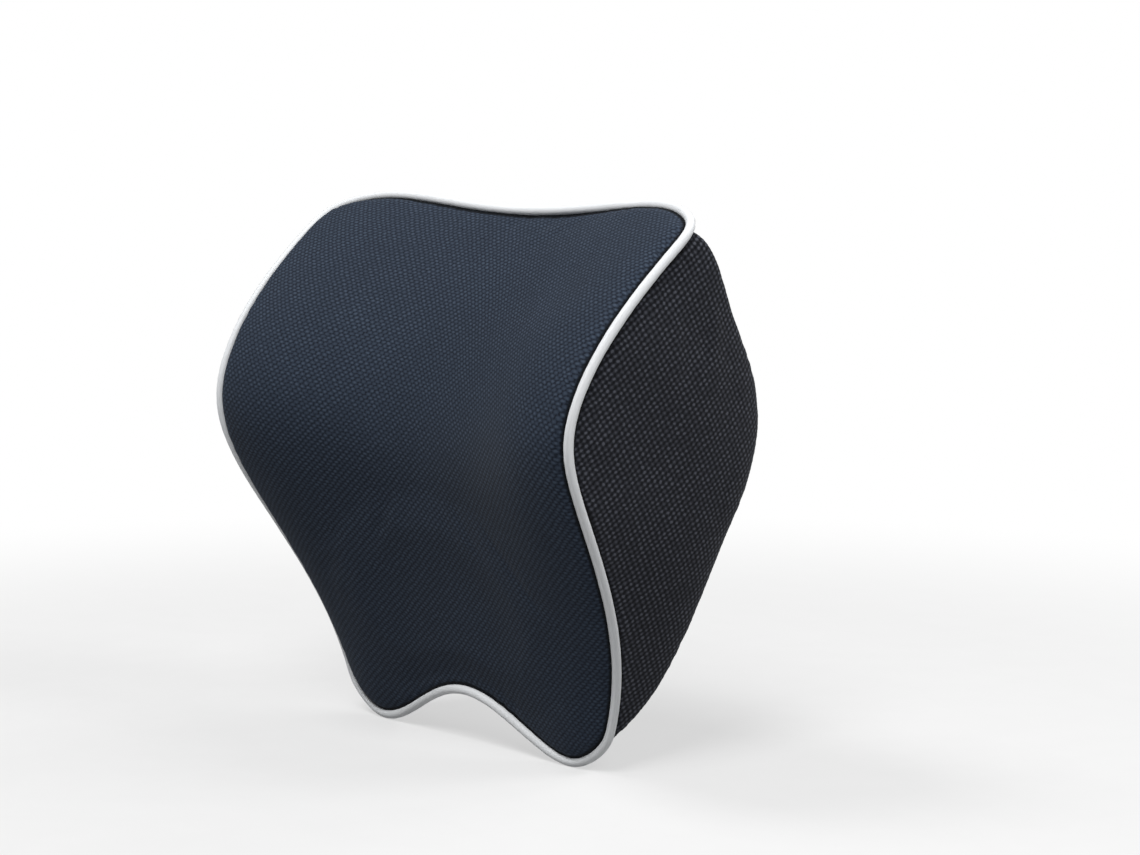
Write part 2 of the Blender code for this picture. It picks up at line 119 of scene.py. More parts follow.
def half_width(t):
    if t < WAIST_ROW:
        return mix(SHOULDER_HALF_WIDTH, WAIST_HALF_WIDTH, ease(t / WAIST_ROW))
    share = (t - WAIST_ROW) / (1.0 - WAIST_ROW)
    return mix(WAIST_HALF_WIDTH, LOBE_HALF_WIDTH, share ** TAPER_POWER)


def top_edge(u):
    corner = abs(u) ** TOP_CORNER_POWER
    height = TOP_HEIGHT + TOP_EAR_RISE * (1.0 - bell(u)) - TOP_CORNER_DROP * corner
    return TOP_DEPTH - TOP_CORNER_SWEEP * corner, height


def foot_edge(u):
    lobe = 1.0 - bell(min(abs(u) / LOBE_COLUMN, 1.0))
    height = FOOT_HEIGHT - LOBE_DROP * lobe + LOBE_CORNER_LIFT * abs(u) ** LOBE_CORNER_POWER
    return FOOT_DEPTH + LOBE_SETBACK * lobe, height


def row_height(u, t):
    return mix(top_edge(u)[1], foot_edge(u)[1], t)


def back_plane_depth(height):
    upper = math.tan(UPPER_BACK_LEAN)
    lower = math.tan(LOWER_BACK_LEAN)
    rise = height - APEX_HEIGHT
    apex_depth = -upper * APEX_HEIGHT
    if rise >= APEX_ROUNDING:
        return apex_depth - upper * rise
    if rise <= -APEX_ROUNDING:
        return apex_depth + lower * rise
    rounded = 0.5 * (rise * rise / APEX_ROUNDING + APEX_ROUNDING)
    return apex_depth - 0.5 * (upper - lower) * rise - 0.5 * (upper + lower) * rounded


def front_depth(u, t):
    top_depth, top_height = top_edge(u)
    foot_depth, foot_height = foot_edge(u)
    ridge_height = RIDGE_HEIGHT - CHANNEL_RIDGE_DROP * bell(u)
    ridge_row = (top_height - ridge_height) / (top_height - foot_height)
    ridge_depth = RIDGE_DEPTH + CHANNEL_DEPTH * bell(u)
    if t < ridge_row:
        share = (ridge_row - t) / ridge_row
        depth = mix(ridge_depth, top_depth, share ** BROW_POWER)
    else:
        share = (t - ridge_row) / (1.0 - ridge_row)
        depth = mix(ridge_depth, foot_depth, ease(share ** CHIN_POWER))
    crown = (1.0 - u ** CROWN_POWER) * (1.0 - (2.0 * t - 1.0) ** CROWN_POWER)
    return depth - FRONT_CROWN * crown


def back_depth(u, t):
    height = row_height(u, t)
    top_depth, top_height = top_edge(u)
    foot_depth, foot_height = foot_edge(u)
    top_share = max(0.0, 1.0 - (top_height - height) / TOP_EDGE_REACH) ** 2
    foot_share = max(0.0, 1.0 - (height - foot_height) / FOOT_EDGE_REACH) ** 2
    depth = back_plane_depth(height)
    depth += (top_depth - back_plane_depth(top_height)) * top_share
    depth += (foot_depth - back_plane_depth(foot_height)) * foot_share
    return depth


def end_fullness(t):
    height = row_height(1.0, t)
    below_top = row_height(1.0, 0.0) - height
    above_foot = height - row_height(1.0, 1.0)
    return min(1.0, below_top / END_CORNER_REACH, above_foot / END_CORNER_REACH)


def front_point(u, t):
    return Vector((u * half_width(t), front_depth(u, t), row_height(u, t)))


def back_point(u, t):
    width = half_width(t) - BACK_EDGE_ROUNDING * end_fullness(t)
    return Vector((u * width, back_depth(u, t), row_height(u, t)))


def end_point(side, w, t):
    start = front_point(side, t)
    finish = back_point(side, t)
    corner = Vector((side * (half_width(t) + END_CROWN * end_fullness(t)), finish.y, finish.z))
    return start * (1.0 - w) ** 2 + corner * (2.0 * w * (1.0 - w)) + finish * w ** 2


def ring_points(t, pinched):
    """One row of the cage: its points across the front, the right end, the back and the left end."""
    across = [2.0 * i / FRONT_COLUMNS - 1.0 for i in range(FRONT_COLUMNS)]
    round_end = END_STATIONS[:-1]
    if pinched:
        middle = {u: (front_point(u, t) + back_point(u, t)) / 2.0 for u in across + [1.0]}
        order = across + [1.0] * len(round_end) + [1.0] + across[:0:-1] + [-1.0] * len(round_end)
        return [middle[u] for u in order]
    ring = [front_point(u, t) for u in across]
    ring += [end_point(1.0, w, t) for w in round_end]
    ring += [back_point(-u, t) for u in across]
    ring += [end_point(-1.0, w, t) for w in END_STATIONS[:0:-1]]
    return ring


def cloth_chart(rings, panel, first, count):
    """Flat cloth coordinates, in metres, of one panel's cage points: how the cloth was cut."""
    ring_size = len(rings[0])
    points = np.array([[ring[(first + c) % ring_size] for c in range(count + 1)] for ring in rings])
    steps = np.linalg.norm(np.diff(points, axis=1), axis=2)
    along = np.concatenate([np.zeros((len(points), 1)), np.cumsum(steps, axis=1)], axis=1)
    middle = CHART_COLUMN[panel]
    along -= along[:, middle:middle + 1]
    if panel in (FRONT, BACK):
        drop = np.hypot(np.diff(points[:, :, 1], axis=0), np.diff(points[:, :, 2], axis=0))
        down = np.concatenate([np.zeros((1, count + 1)), np.cumsum(drop, axis=0)], axis=0)
        down += -points[CHART_ROW, :, 2] - down[CHART_ROW]
        return np.stack([along, down], axis=2)
    sense = 1.0 if panel == RIGHT_END else -1.0
    edge = points[:, middle]
    drop = np.hypot(np.diff(edge[:, 0]), np.diff(edge[:, 2]))
    down = np.concatenate([[0.0], np.cumsum(drop)])[:, None].repeat(count + 1, axis=1)
    return np.stack([along + sense * edge[:, 1:2], down], axis=2)


def body_cage(setback=0.0):
    """The pillow's coarse closed cage with its panels, creased front seam and cloth charts."""
    edge_row = setback / (TOP_HEIGHT - FOOT_HEIGHT)
    stations = [edge_row, *ROW_STATIONS[1:-1], 1.0 - edge_row]
    rings = [ring_points(t, t in (stations[0], stations[-1])) for t in stations]
    ends = len(END_STATIONS) - 1
    spans = {FRONT: (0, FRONT_COLUMNS), RIGHT_END: (FRONT_COLUMNS, ends),
             BACK: (FRONT_COLUMNS + ends, FRONT_COLUMNS), LEFT_END: (2 * FRONT_COLUMNS + ends, ends)}
    charts = {panel: cloth_chart(rings, panel, *span) for panel, span in spans.items()}
    cage = bmesh.new()
    crease = cage.edges.layers.float.new("crease_edge")
    place = cage.loops.layers.uv.new("cloth")
    rows = [[cage.verts.new(point) for point in ring] for ring in rings]
    for i in range(len(rows) - 1):
        for panel, (first, count) in spans.items():
            for c in range(count):
                corners = ((i, c), (i + 1, c), (i + 1, c + 1), (i, c + 1))
                face = cage.faces.new([rows[r][(first + k) % len(rows[0])] for r, k in corners])
                face.material_index = panel
                face.smooth = True
                for loop, (r, k) in zip(face.loops, corners):
                    loop[place].uv = charts[panel][r][k]
    bmesh.ops.remove_doubles(cage, verts=cage.verts, dist=MERGE_REACH)
    bmesh.ops.recalc_face_normals(cage, faces=cage.faces)
    for edge in cage.edges:
        panels = {face.material_index for face in edge.link_faces}
        if FRONT in panels and len(panels) == 2 and setback == 0.0:
            edge[crease] = 1.0
    mesh = bpy.data.meshes.new("cage")
    cage.to_mesh(mesh)
    cage.free()
    return mesh


def subdivided(mesh, levels):
    """A mesh after Subdivision Surface, as a new mesh."""
    guide = bpy.data.objects.new("guide", mesh)
    bpy.context.scene.collection.objects.link(guide)
    smooth = guide.modifiers.new("smooth", "SUBSURF")
    smooth.levels = smooth.render_levels = levels
    bpy.context.view_layer.update()
    made = bpy.data.meshes.new_from_object(guide.evaluated_get(bpy.context.evaluated_depsgraph_get()))
    bpy.data.objects.remove(guide, do_unlink=True)
    return made


def places(mesh, what="co"):
    found = np.zeros(len(mesh.vertices) * 3)
    mesh.vertices.foreach_get(what, found)
    return found.reshape(-1, 3)


def normals(mesh):
    return places(mesh, "normal")


def set_places(mesh, found):
    mesh.vertices.foreach_set("co", found.ravel())
    mesh.update()


def smooth_mesh(name, points, faces):
    mesh = bpy.data.meshes.new(name)
    mesh.from_pydata(points, [], faces)
    mesh.polygons.foreach_set("use_smooth", [True] * len(faces))
    mesh.update()
    return mesh


def one_finish(mesh):
    """Every face smooth and in the first material."""
    mesh.polygons.foreach_set("use_smooth", [True] * len(mesh.polygons))
    mesh.polygons.foreach_set("material_index", [0] * len(mesh.polygons))


def lengths(points):
    """How far along a line each of its points is."""
    return np.concatenate([[0.0], np.cumsum(np.linalg.norm(np.diff(points, axis=0), axis=1))])


def search_tree(points):
    tree = kdtree.KDTree(len(points))
    for i, point in enumerate(points):
        tree.insert(point, i)
    tree.balance()
    return tree


def back_frame(height, lean_down):
    """A frame on the back's plane: across, down along the back, and out of it."""
    across = Vector((1.0, 0.0, 0.0))
    down = Vector((0.0, math.sin(lean_down), -math.cos(lean_down)))
    place = Matrix((across, down, across.cross(down))).transposed().to_4x4()
    place.translation = Vector((0.0, back_plane_depth(height), height))
    return place


ZIP_FRAME = back_frame(APEX_HEIGHT - ZIP_DROP * math.cos(LOWER_BACK_LEAN), -LOWER_BACK_LEAN)
STRAP_FRAME = back_frame(-STRAP_DROP * math.cos(UPPER_BACK_LEAN), UPPER_BACK_LEAN)
ZIP_DOWN, ZIP_OUT = (ZIP_FRAME.to_3x3().col[k].copy() for k in (1, 2))
STRAP_OUT = STRAP_FRAME.to_3x3().col[2].copy()


# Cloth simulation: how long and how hard it blows, how stiff the cloth is, how firmly the back seams
# hold, and how far the cloth may move from the cut shape
SIM_FRAMES = 20
SIM_PRESSURE = 4.0
SIM_SHRINK = 0.0022
SIM_SINK = 0.0004
SIM_SWELL = 0.0022
SIM_SEAM_FADE = 0.012
SIM_BACK_FADE = 0.014
SIM_BACK_DEPTH = 0.02
SIM_BACK_PIN = 0.35
SIM_QUALITY = 6
SIM_MASS = 0.3
SIM_STRETCH = 15.0
SIM_SHEAR = 5.0
SIM_BEND = 0.5
SKIN_LEVEL = 3


def seam_vertices(mesh):
    """For each vertex, whether it is on the front seam and whether it is on a back seam."""
    touching = [set() for _ in mesh.vertices]
    for face in mesh.polygons:
        for v in face.vertices:
            touching[v].add(face.material_index)
    front = np.array([FRONT in t and len(t) > 1 for t in touching])
    back = np.array([BACK in t and len(t) > 1 and FRONT not in t for t in touching])
    return front, back


def held_fade(rest, front):
    """From 0 at the front seam, the zip and the strap, where the cover is held, to 1 where it is free."""
    seam = search_tree(rest[front])
    fade = np.array([min(1.0, seam.find(point)[2] / SIM_SEAM_FADE) for point in rest])
    for place, half in ((ZIP_FRAME, ZIP_SLOT_WIDTH / 2.0), (STRAP_FRAME, STRAP_WIDTH / 2.0)):
        local = (rest - np.array(place.translation)) @ np.array(place.to_3x3())
        beside = np.abs(local[:, 1]) - half
        share = np.clip(beside / SIM_BACK_FADE, 0.0, 1.0)
        fade *= np.where(np.abs(local[:, 2]) < SIM_BACK_DEPTH, share, 1.0)
    return fade ** 2 * (3.0 - 2.0 * fade)


def inflated(mesh):
    """The cover blown against its seams by a cloth simulation, pinned at the front seam."""
    rest = places(mesh)
    front, back = seam_vertices(mesh)
    free = np.where(front, 0.0, 1.0)[:, None]
    start = rest - normals(mesh) * SIM_SHRINK * free
    copy = mesh.copy()
    set_places(copy, start)
    cover = bpy.data.objects.new("sim_cover", copy)
    bpy.context.scene.collection.objects.link(cover)
    pins = cover.vertex_groups.new(name="pins")
    pins.add([int(i) for i in np.flatnonzero(front)], 1.0, "REPLACE")
    pins.add([int(i) for i in np.flatnonzero(back)], SIM_BACK_PIN, "REPLACE")
    cloth = cover.modifiers.new("cloth", "CLOTH")
    settings = cloth.settings
    settings.quality = SIM_QUALITY
    settings.mass = SIM_MASS
    settings.tension_stiffness = settings.compression_stiffness = SIM_STRETCH
    settings.shear_stiffness = SIM_SHEAR
    settings.bending_stiffness = SIM_BEND
    settings.use_pressure = True
    settings.uniform_pressure_force = SIM_PRESSURE
    settings.vertex_group_mass = "pins"
    settings.effector_weights.gravity = 0.0
    cloth.collision_settings.use_collision = False
    cloth.point_cache.frame_start = 1
    cloth.point_cache.frame_end = SIM_FRAMES
    scene = bpy.context.scene
    for number in range(1, SIM_FRAMES + 1):
        scene.frame_set(number)
    blown = cover.evaluated_get(bpy.context.evaluated_depsgraph_get()).to_mesh()
    moved = places(blown) - start
    scene.frame_set(1)
    bpy.data.objects.remove(cover, do_unlink=True)
    out = normals(mesh)
    puff = ((start + moved - rest) * out).sum(axis=1)
    puff = np.clip(puff, -SIM_SINK, SIM_SWELL) * held_fade(rest, front)
    return rest + out * puff[:, None]


# Seams, puckers and relief of the cloth
SEAM_DIP = 0.0013
SEAM_DIP_REACH = 0.0026
PIPING_DIP = 0.0007
PIPING_DIP_PLACE = 0.0028
PIPING_DIP_REACH = 0.0014
PUCKER = 0.00032
PUCKER_REACH = 0.0085
END_SLIP = 0.0021
END_SLIP_REACH = 0.0036
BACK_SLIP = 0.0040
BACK_SLIP_REACH = 0.0070
PUCKER_PITCH = 0.0125
PUCKER_START = 0.002
PUCKER_WANDER, WANDER_RATE = 2.0, 0.31
PUCKER_MEAN, PUCKER_SWING, SWING_RATE = 0.6, 0.4, 0.173
BACK_PUCKER_PHASE = 40.0
UNEVENNESS = 0.00035
UNEVEN_PITCH = 0.055
UNEVEN_SEED = {FRONT: 3, RIGHT_END: 6, BACK: 11, LEFT_END: 8}
SEAM_CALM = 0.004
MESH_RELIEF = 0.00018
EDGE_ROLL = 0.0050
ROLL_REACH = 0.0032
ROLL_SIDE = (0.25, 1.0)
TIP_TUCK = 0.0014
TIP_TUCK_PLACE = 0.0065
TIP_TUCK_REACH = 0.0045
TIP_TUCK_ASIDE = 0.66
TIP_TUCK_FORWARD = 0.75
RIM_DEPTH = 0.0012
PIPING_RIM_DEPTH = 0.0004
RIM_FADE = 0.012
CUT_REACH = 0.000001
SEAM_STEP = 0.0012
SIDE_LATTICE = ((200.0, 299.0), (-286.0, 184.0))
FRONT_LATTICE = ((229.0, 279.0), (-323.0, 264.0))


def waves(points, pitch, seed, count=5):
    """Smooth repeatable noise from -1 to 1: a few sine waves in random directions."""
    rng = np.random.default_rng(seed)
    total = np.zeros(len(points))
    for _ in range(count):
        way = rng.normal(size=points.shape[1])
        way /= np.linalg.norm(way)
        length = pitch * rng.uniform(0.7, 1.5)
        total += np.sin(points @ way * (2.0 * math.pi / length) + rng.uniform(0.0, 6.28))
    return total / count ** 0.5


class Seam:
    """Points along a seam line, to look up how far a point is from it and where along it."""

    def __init__(self, points):
        self.along = lengths(points)
        self.tree = search_tree(points)

    def near(self, points):
        found = [self.tree.find(point)[1:] for point in points]
        index = np.array([i for i, _ in found])
        return np.array([d for _, d in found]), self.along[index]


def smooth_loop(points, spacing, closed=True):
    """A curve through points, as evenly spaced points."""
    points = np.array(points)
    ring = np.vstack([points[-1:], points, points[:2]]) if closed else \
        np.vstack([2 * points[:1] - points[1:2], points, 2 * points[-1:] - points[-2:-1]])
    dense = []
    for i in range(len(ring) - 3):
        a, b, c, d = ring[i:i + 4]
        for s in np.linspace(0.0, 1.0, 8, endpoint=False):
            dense.append(0.5 * (2 * b + (c - a) * s + (2 * a - 5 * b + 4 * c - d) * s ** 2
                                + (3 * b - a - 3 * c + d) * s ** 3))
    full = np.vstack(dense + [dense[0] if closed else ring[-2]])
    length = lengths(full)
    count = int(round(length[-1] / spacing))
    at = np.linspace(0.0, length[-1], count, endpoint=not closed)
    return np.stack([np.interp(at, length, full[:, k]) for k in range(3)], axis=1)


def edge_loop(chosen):
    """Vertex indices of a closed loop of edges, in order."""
    links = {}
    for a, b in chosen:
        links.setdefault(a, []).append(b)
        links.setdefault(b, []).append(a)
    start = min(links)
    loop, previous, here = [start], start, links[start][0]
    while here != start:
        loop.append(here)
        step = [v for v in links[here] if v != previous]
        previous, here = here, step[0]
    return loop


def edge_panels(mesh):
    """The panels on each side of every edge."""
    found = {}
    for face in mesh.polygons:
        for key in face.edge_keys:
            found.setdefault(key, set()).add(face.material_index)
    return found


def panel_mesh(number, levels):
    """One panel of the skin as its own finely subdivided mesh; an end panel keeps its sharp tips."""
    work = bmesh.new()
    work.from_mesh(skin)
    sharp = work.verts.layers.float.get("crease_vert") or work.verts.layers.float.new("crease_vert")
    for vert in work.verts:
        panels = {face.material_index for face in vert.link_faces}
        if number in (LEFT_END, RIGHT_END) and len(panels) > 2:
            vert[sharp] = 1.0
    others = [face for face in work.faces if face.material_index != number]
    bmesh.ops.delete(work, geom=others, context="FACES")
    mesh = bpy.data.meshes.new("panel")
    work.to_mesh(mesh)
    work.free()
    fine = subdivided(mesh, levels)
    bpy.data.meshes.remove(mesh)
    return fine


def chart_of(mesh):
    """Each vertex's cloth coordinates, from the panel's UV map."""
    loops = np.zeros(len(mesh.loops) * 2)
    mesh.uv_layers["cloth"].uv.foreach_get("vector", loops)
    index = np.zeros(len(mesh.loops), int)
    mesh.loops.foreach_get("vertex_index", index)
    chart = np.zeros((len(mesh.vertices), 2))
    chart[index] = loops.reshape(-1, 2)
    return chart


def store(mesh, name, values):
    """A number or a vector at each vertex, for the material."""
    single = values.ndim == 1
    layer = mesh.attributes.new(name, "FLOAT" if single else "FLOAT_VECTOR", "POINT")
    layer.data.foreach_set("value" if single else "vector", values.ravel())


def lattice_wave(chart, lattice):
    """From 0 in the holes to 1 on the knots of a mesh cloth."""
    phases = [2.0 * math.pi * (chart @ np.array(way)) for way in lattice]
    return 0.5 + 0.25 * (np.cos(phases[0]) + np.cos(phases[1]))


def eased(chart, near_back, number):
    """The cloth coordinates slipped beside a back seam, so that the knots keep their size there."""
    if number == FRONT:
        return chart
    if number == BACK:
        slip = -np.sign(chart[:, 0]) * BACK_SLIP * np.exp(-near_back / BACK_SLIP_REACH)
    else:
        slip = (1.0 if number == RIGHT_END else -1.0) * END_SLIP * np.exp(-near_back / END_SLIP_REACH)
    return np.column_stack([chart[:, 0] + slip, chart[:, 1]])


def edge_roll(place, near_front):
    """How far the front cloth rolls up beside the piping, more towards the sides."""
    row = np.clip((TOP_HEIGHT - place[:, 2]) / (TOP_HEIGHT - FOOT_HEIGHT), 0.0, 1.0)
    share = np.abs(place[:, 0]) / np.array([half_width(t) for t in row])
    aside = np.clip((share - ROLL_SIDE[0]) / (ROLL_SIDE[1] - ROLL_SIDE[0]), 0.0, 1.0)
    roll = EDGE_ROLL * aside * aside * (3.0 - 2.0 * aside)
    return roll * (1.0 - np.exp(-near_front / ROLL_REACH))


def dress_panel(mesh, number):
    """Seam valleys, puckers, faint unevenness and relief, with what the material needs of them."""
    place, out = places(mesh), normals(mesh)
    near_front, along_front = PIPING_SEAM.near(place)
    near_back, along_back = BACK_SEAM.near(place)
    chart = eased(chart_of(mesh), near_back, number)
    move = -PIPING_DIP * np.exp(-((near_front - PIPING_DIP_PLACE) / PIPING_DIP_REACH) ** 2)
    if number == FRONT:
        move += edge_roll(place, near_front)
    back_dip = SEAM_DIP * np.minimum(1.0, near_front / RIM_FADE)
    move -= back_dip * np.exp(-(near_back / SEAM_DIP_REACH) ** 2)
    for near, along, start in ((near_front, along_front, 0.0), (near_back, along_back, BACK_PUCKER_PHASE)):
        phase = 2.0 * math.pi * along / PUCKER_PITCH + start
        ripple = np.sin(phase + PUCKER_WANDER * np.sin(phase * WANDER_RATE)) \
            * (PUCKER_MEAN + PUCKER_SWING * np.sin(phase * SWING_RATE))
        envelope = np.exp(-near / PUCKER_REACH) * np.minimum(1.0, near / PUCKER_START)
        move += PUCKER * ripple * envelope
    move += UNEVENNESS * waves(place, UNEVEN_PITCH, UNEVEN_SEED[number])
    tuck = np.zeros_like(place)
    if number != FRONT:
        calm = np.minimum(1.0, np.minimum(near_front, near_back) / SEAM_CALM)
        move += MESH_RELIEF * (lattice_wave(chart, SIDE_LATTICE) - 0.5) * calm
        for tip in TIPS:
            away = np.linalg.norm(place - tip, axis=1)
            tuck += TIP_TUCK * np.exp(-((away - TIP_TUCK_PLACE) / TIP_TUCK_REACH) ** 2)[:, None] \
                * np.array([-math.copysign(TIP_TUCK_ASIDE, tip[0]), -TIP_TUCK_FORWARD, 0.0])
    set_places(mesh, place + out * move[:, None] + tuck)
    store(mesh, "cloth_place", np.column_stack([chart, np.zeros(len(chart))]))
    store(mesh, "seam_nearness", np.exp(-np.minimum(near_front, near_back) / SEAM_CALM))
    store(mesh, "piping_distance", near_front)


def rim_depth(place):
    """How far an edge is turned under: little inside the piping."""
    return mix(PIPING_RIM_DEPTH, RIM_DEPTH, min(1.0, PIPING_SEAM.tree.find(place)[2] / RIM_FADE))


def turn_rims(mesh):
    """The panel's open edges turned under, as cloth is at a seam."""
    work = bmesh.new()
    work.from_mesh(mesh)
    work.normal_update()
    rims = [edge for edge in work.edges if edge.is_boundary]
    turn = {vert: vert.co - vert.normal * rim_depth(vert.co) for edge in rims for vert in edge.verts}
    made = bmesh.ops.extrude_edge_only(work, edges=rims)["geom"]
    fresh = [item for item in made if isinstance(item, bmesh.types.BMVert)]
    tree = search_tree([vert.co for vert in turn])
    goals = list(turn.values())
    for vert in fresh:
        vert.co = goals[tree.find(vert.co)[1]]
    work.to_mesh(mesh)
    work.free()
    one_finish(mesh)


def new_piece(name, mesh, finish, body="pillow", stands_for=()):
    mesh.materials.clear()
    mesh.materials.append(finish)
    piece = bpy.data.objects.new(name, mesh)
    bpy.context.scene.collection.objects.link(piece)
    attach(piece, body)
    if stands_for:
        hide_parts(*stands_for)
    return piece


# Materials
class Look:
    """A material's node tree, with short calls for the nodes that all of them use."""

    def __init__(self, name, world=False):
        self.made = (bpy.data.worlds if world else bpy.data.materials).new(name)
        self.made.use_nodes = True
        self.tree = self.made.node_tree
        self.shader = self.tree.nodes["Background" if world else "Principled BSDF"]

    def node(self, kind, inputs=(), **settings):
        made = self.tree.nodes.new("ShaderNode" + kind)
        for key, value in settings.items():
            setattr(made, key, value)
        for key, value in dict(inputs).items():
            self.feed(made.inputs[key], value)
        return made

    def feed(self, socket, value):
        if isinstance(value, bpy.types.NodeSocket):
            self.tree.links.new(value, socket)
        else:
            socket.default_value = value

    def math(self, operation, *values):
        return self.node("Math", enumerate(values), operation=operation).outputs[0]

    def vector(self, operation, *values):
        return self.node("VectorMath", enumerate(values), operation=operation)

    def place(self):
        return self.node("Attribute", attribute_name="cloth_place").outputs["Vector"]

    def spot(self):
        return self.node("NewGeometry").outputs["Position"]

    def amount(self, name):
        return self.node("Attribute", attribute_name=name).outputs["Fac"]

    def noise(self, vector, scale, detail=2.0, roughness=0.5):
        inputs = {"Vector": vector, "Scale": scale, "Detail": detail, "Roughness": roughness}
        return self.node("TexNoise", inputs).outputs["Fac"]

    def ramp(self, value, colours, stops=(0.0, 1.0)):
        made = self.node("ValToRGB", {0: value})
        elements = made.color_ramp.elements
        while len(elements) < len(stops):
            elements.new(0.5)
        for element, at, colour in zip(elements, stops, colours):
            element.position = at
            element.color = (*colour, 1.0)
        return made.outputs["Color"]

    def span(self, value, low, high, to_low=0.0, to_high=1.0, kind="LINEAR"):
        made = self.node("MapRange", {"Value": value, "From Min": low, "From Max": high,
                                      "To Min": to_low, "To Max": to_high}, interpolation_type=kind)
        return made.outputs["Result"]

    def blend(self, share, low, high):
        made = self.node("Mix", data_type="RGBA")
        self.feed(made.inputs["Factor"], share)
        self.feed(made.inputs[6], (*low, 1.0))
        self.feed(made.inputs[7], (*high, 1.0))
        return made.outputs[2]

    def wave_of(self, place, way):
        """Cosine of the phase of one lattice direction, from 0 to 1."""
        turn = tuple(2.0 * math.pi * part for part in way) + (0.0,)
        phase = self.vector("DOT_PRODUCT", place, turn).outputs["Value"]
        return self.math("MULTIPLY_ADD", self.math("COSINE", phase), 0.5, 0.5)

    def finish(self, colour, roughness, bump=None, strength=1.0, distance=0.0003, **sockets):
        self.feed(self.shader.inputs["Base Color"], colour)
        self.feed(self.shader.inputs["Roughness"], roughness)
        if bump is not None:
            made = self.node("Bump", {"Height": bump, "Strength": strength, "Distance": distance})
            self.tree.links.new(made.outputs["Normal"], self.shader.inputs["Normal"])
        for key, value in sockets.items():
            self.shader.inputs[key.replace("_", " ")].default_value = value
        return self.made


# How far the knots wander and vary, where they and the pits lie in the wave, how fine each noise is,
# and the painted shade of the ditch beside the piping: where it begins and ends, and how dark it is
WEAVE_WANDER = 0.0022
KNOT_JUMBLE = 1.1
KNOT_RISE = (0.05, 0.95)
PIT_FALL = (0.0, -0.62)
WANDER_SCALE = 130.0
JUMBLE_SCALE = 1100.0
THREAD_SCALE = 2600.0
BROAD_SCALE = 18.0
BROAD_SHADE = (0.92, 1.07)
SEAM_WEAR = 0.10
PAINTED_DITCH_SHADE = 0.10
MESH_SHEEN = 0.04

# Colours: the two meshes' pits, ground and knots, the pits darker partly by painted shade and the knots
# lighter partly by a painted highlight, then two of every other stuff
NAVY = ((0.0078, 0.0112, 0.0192), (0.0262, 0.0368, 0.0578), (0.0542, 0.0750, 0.1100))
BLACK = ((0.0058, 0.0063, 0.0090), (0.0216, 0.0232, 0.0302), (0.105, 0.112, 0.137))
WHITE_CORD = ((0.90, 0.92, 0.94), (0.85, 0.87, 0.89))
ELASTIC_BLACK = ((0.006, 0.006, 0.007), (0.030, 0.031, 0.035))
TAPE_BLACK = ((0.006, 0.006, 0.007), (0.026, 0.027, 0.031))
NYLON_BLACK = ((0.020, 0.020, 0.022), (0.034, 0.034, 0.037))
THREAD_BLACK = ((0.035, 0.036, 0.041), (0.070, 0.072, 0.080))
PAINT_BLACK = ((0.018, 0.018, 0.020), (0.042, 0.042, 0.045))
FOAM_CREAM = ((0.80, 0.76, 0.62), (0.72, 0.66, 0.50))
FLOOR_GREY = ((0.31, 0.31, 0.31), (0.33, 0.33, 0.33))
# Where the painted shade of the ditch beside the piping runs, by distance from the piping, on the front
# and on the ends
FRONT_PAINTED_DITCH = (0.0025, 0.0035)
END_PAINTED_DITCH = (0.0034, 0.0046)


